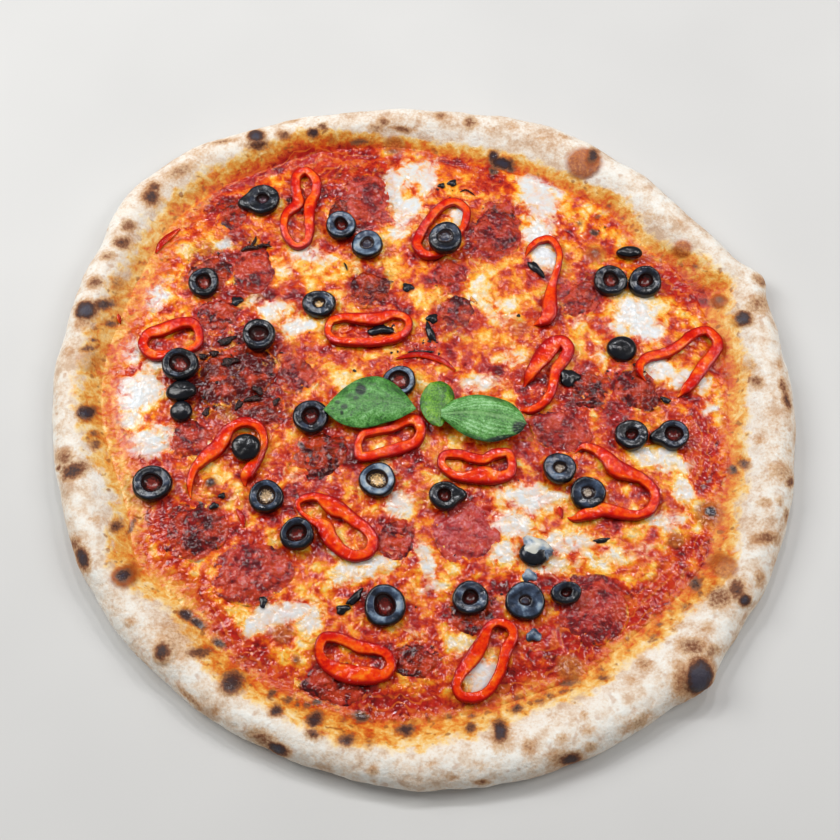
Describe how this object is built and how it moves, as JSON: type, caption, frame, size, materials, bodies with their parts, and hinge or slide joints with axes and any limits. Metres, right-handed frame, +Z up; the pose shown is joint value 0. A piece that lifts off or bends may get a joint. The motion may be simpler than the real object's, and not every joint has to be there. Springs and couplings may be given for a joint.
{
  "type": "pepperoni pizza",
  "caption": "Whole baked pizza with a puffed, charred rim, red sauce, melted cheese, pepperoni, red pepper rings, black olive slices and basil leaves.",
  "frame": {"origin": "middle of the outline's box, on the flat underside", "axes": "+Z up out of the topping; +Y away from the viewer of the picture, +X to the picture's right"},
  "size_m": [0.3222, 0.3209, 0.0173],
  "materials": {
    "dough": "matt, floury, with brown and black char",
    "melted_cheese": "oily gloss",
    "pepperoni": "oily, grainy",
    "red_pepper": "wet gloss",
    "olive": "wet gloss",
    "basil": "satin leaf"
  },
  "bodies": {
    "root": {"crust": "dough", "sauce_and_cheese": "melted_cheese", "pepperoni_1": "pepperoni", "pepperoni_2": "pepperoni", "pepperoni_3": "pepperoni", "pepperoni_4": "pepperoni", "pepperoni_5": "pepperoni", "pepperoni_6": "pepperoni", "pepperoni_7": "pepperoni", "pepperoni_8": "pepperoni", "pepperoni_9": "pepperoni", "pepperoni_10": "pepperoni", "red_pepper_1": "red_pepper", "red_pepper_2": "red_pepper", "red_pepper_3": "red_pepper", "red_pepper_4": "red_pepper", "red_pepper_5": "red_pepper", "red_pepper_6": "red_pepper", "red_pepper_7": "red_pepper", "red_pepper_8": "red_pepper", "red_pepper_9": "red_pepper", "red_pepper_10": "red_pepper", "red_pepper_11": "red_pepper", "red_pepper_12": "red_pepper", "red_pepper_13": "red_pepper", "red_pepper_14": "red_pepper", "olive_1": "olive", "olive_2": "olive", "olive_3": "olive", "olive_4": "olive", "olive_5": "olive", "olive_6": "olive", "olive_7": "olive", "olive_8": "olive", "olive_9": "olive", "olive_10": "olive", "olive_11": "olive", "olive_12": "olive", "olive_13": "olive", "olive_14": "olive", "olive_15": "olive", "olive_16": "olive", "olive_17": "olive", "olive_18": "olive", "olive_19": "olive", "olive_20": "olive", "olive_21": "olive", "olive_22": "olive", "olive_23": "olive", "olive_24": "olive", "olive_25": "olive", "olive_26": "olive", "olive_27": "olive", "olive_28": "olive", "olive_29": "olive", "olive_30": "olive", "olive_31": "olive", "basil_left": "basil", "basil_middle": "basil", "basil_right": "basil"}
  },
  "joints": []
}
